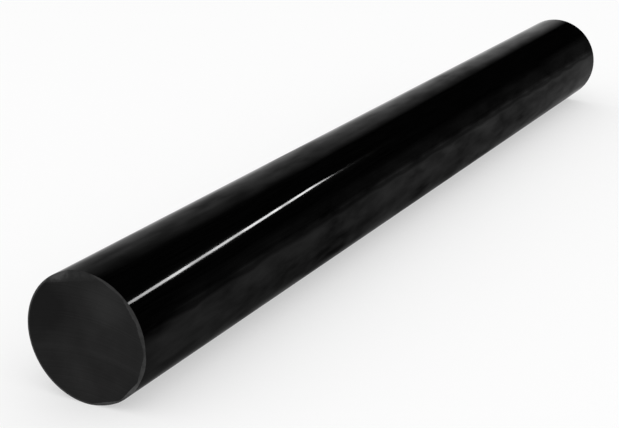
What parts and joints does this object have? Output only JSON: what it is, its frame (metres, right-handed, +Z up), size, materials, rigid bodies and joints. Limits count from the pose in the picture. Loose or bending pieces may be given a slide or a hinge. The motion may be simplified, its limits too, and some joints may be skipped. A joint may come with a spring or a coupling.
{
  "type": "nylon rod",
  "caption": "Solid round bar of black nylon with a glossy skin and matte sawn ends, raw stock for turning and milling.",
  "frame": {"origin": "on the floor under the middle of the bar: the bottom centre of its bounding box, halfway along its length", "axes": "+X along the bar, from the sawn end that the picture shows to the far end; +Z up as the bar lies; +Y level, away from the side that the picture shows"},
  "size_m": [1, 0.1, 0.1],
  "materials": {
    "black_nylon": "glossy black skin along the bar with faint lengthwise lines, matte dark grey on the sawn ends"
  },
  "bodies": {
    "root": {"rod": "black_nylon"}
  },
  "joints": []
}
